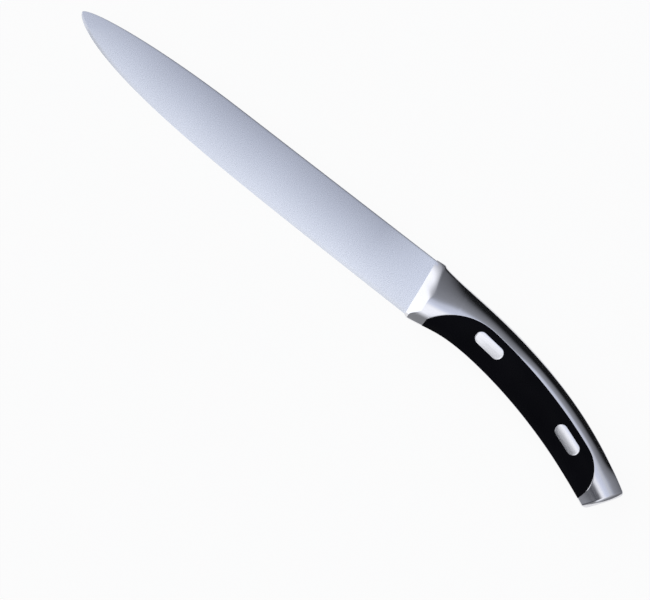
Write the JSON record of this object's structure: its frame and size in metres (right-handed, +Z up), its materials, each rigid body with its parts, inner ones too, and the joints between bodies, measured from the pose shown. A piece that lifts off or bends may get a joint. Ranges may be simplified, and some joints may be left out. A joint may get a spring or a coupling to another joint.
{
  "type": "kitchen knife",
  "caption": "Kitchen slicing knife: flat-ground steel blade welded into a curved steel handle frame with black plastic scales held by oblong rivets.",
  "frame": {"origin": "on the table, under the middle of the knife's box, with the knife lying on its right side", "axes": "+X from the point to the pommel, +Y from the cutting edge to the spine, +Z up, out of the left side"},
  "size_m": [0.331, 0.0494, 0.015],
  "materials": {
    "blade_steel": "satin, brushed across the blade",
    "frame_steel": "bright polished casting",
    "scale_plastic": "fine satin, moulded",
    "rivet_steel": "ground flush and polished"
  },
  "bodies": {
    "root": {"blade": "blade_steel", "handle_frame": "frame_steel", "left_scale": "scale_plastic", "right_scale": "scale_plastic", "front_rivet_socket": "rivet_steel", "front_rivet_stud": "rivet_steel", "rear_rivet_socket": "rivet_steel", "rear_rivet_stud": "rivet_steel"}
  },
  "joints": []
}
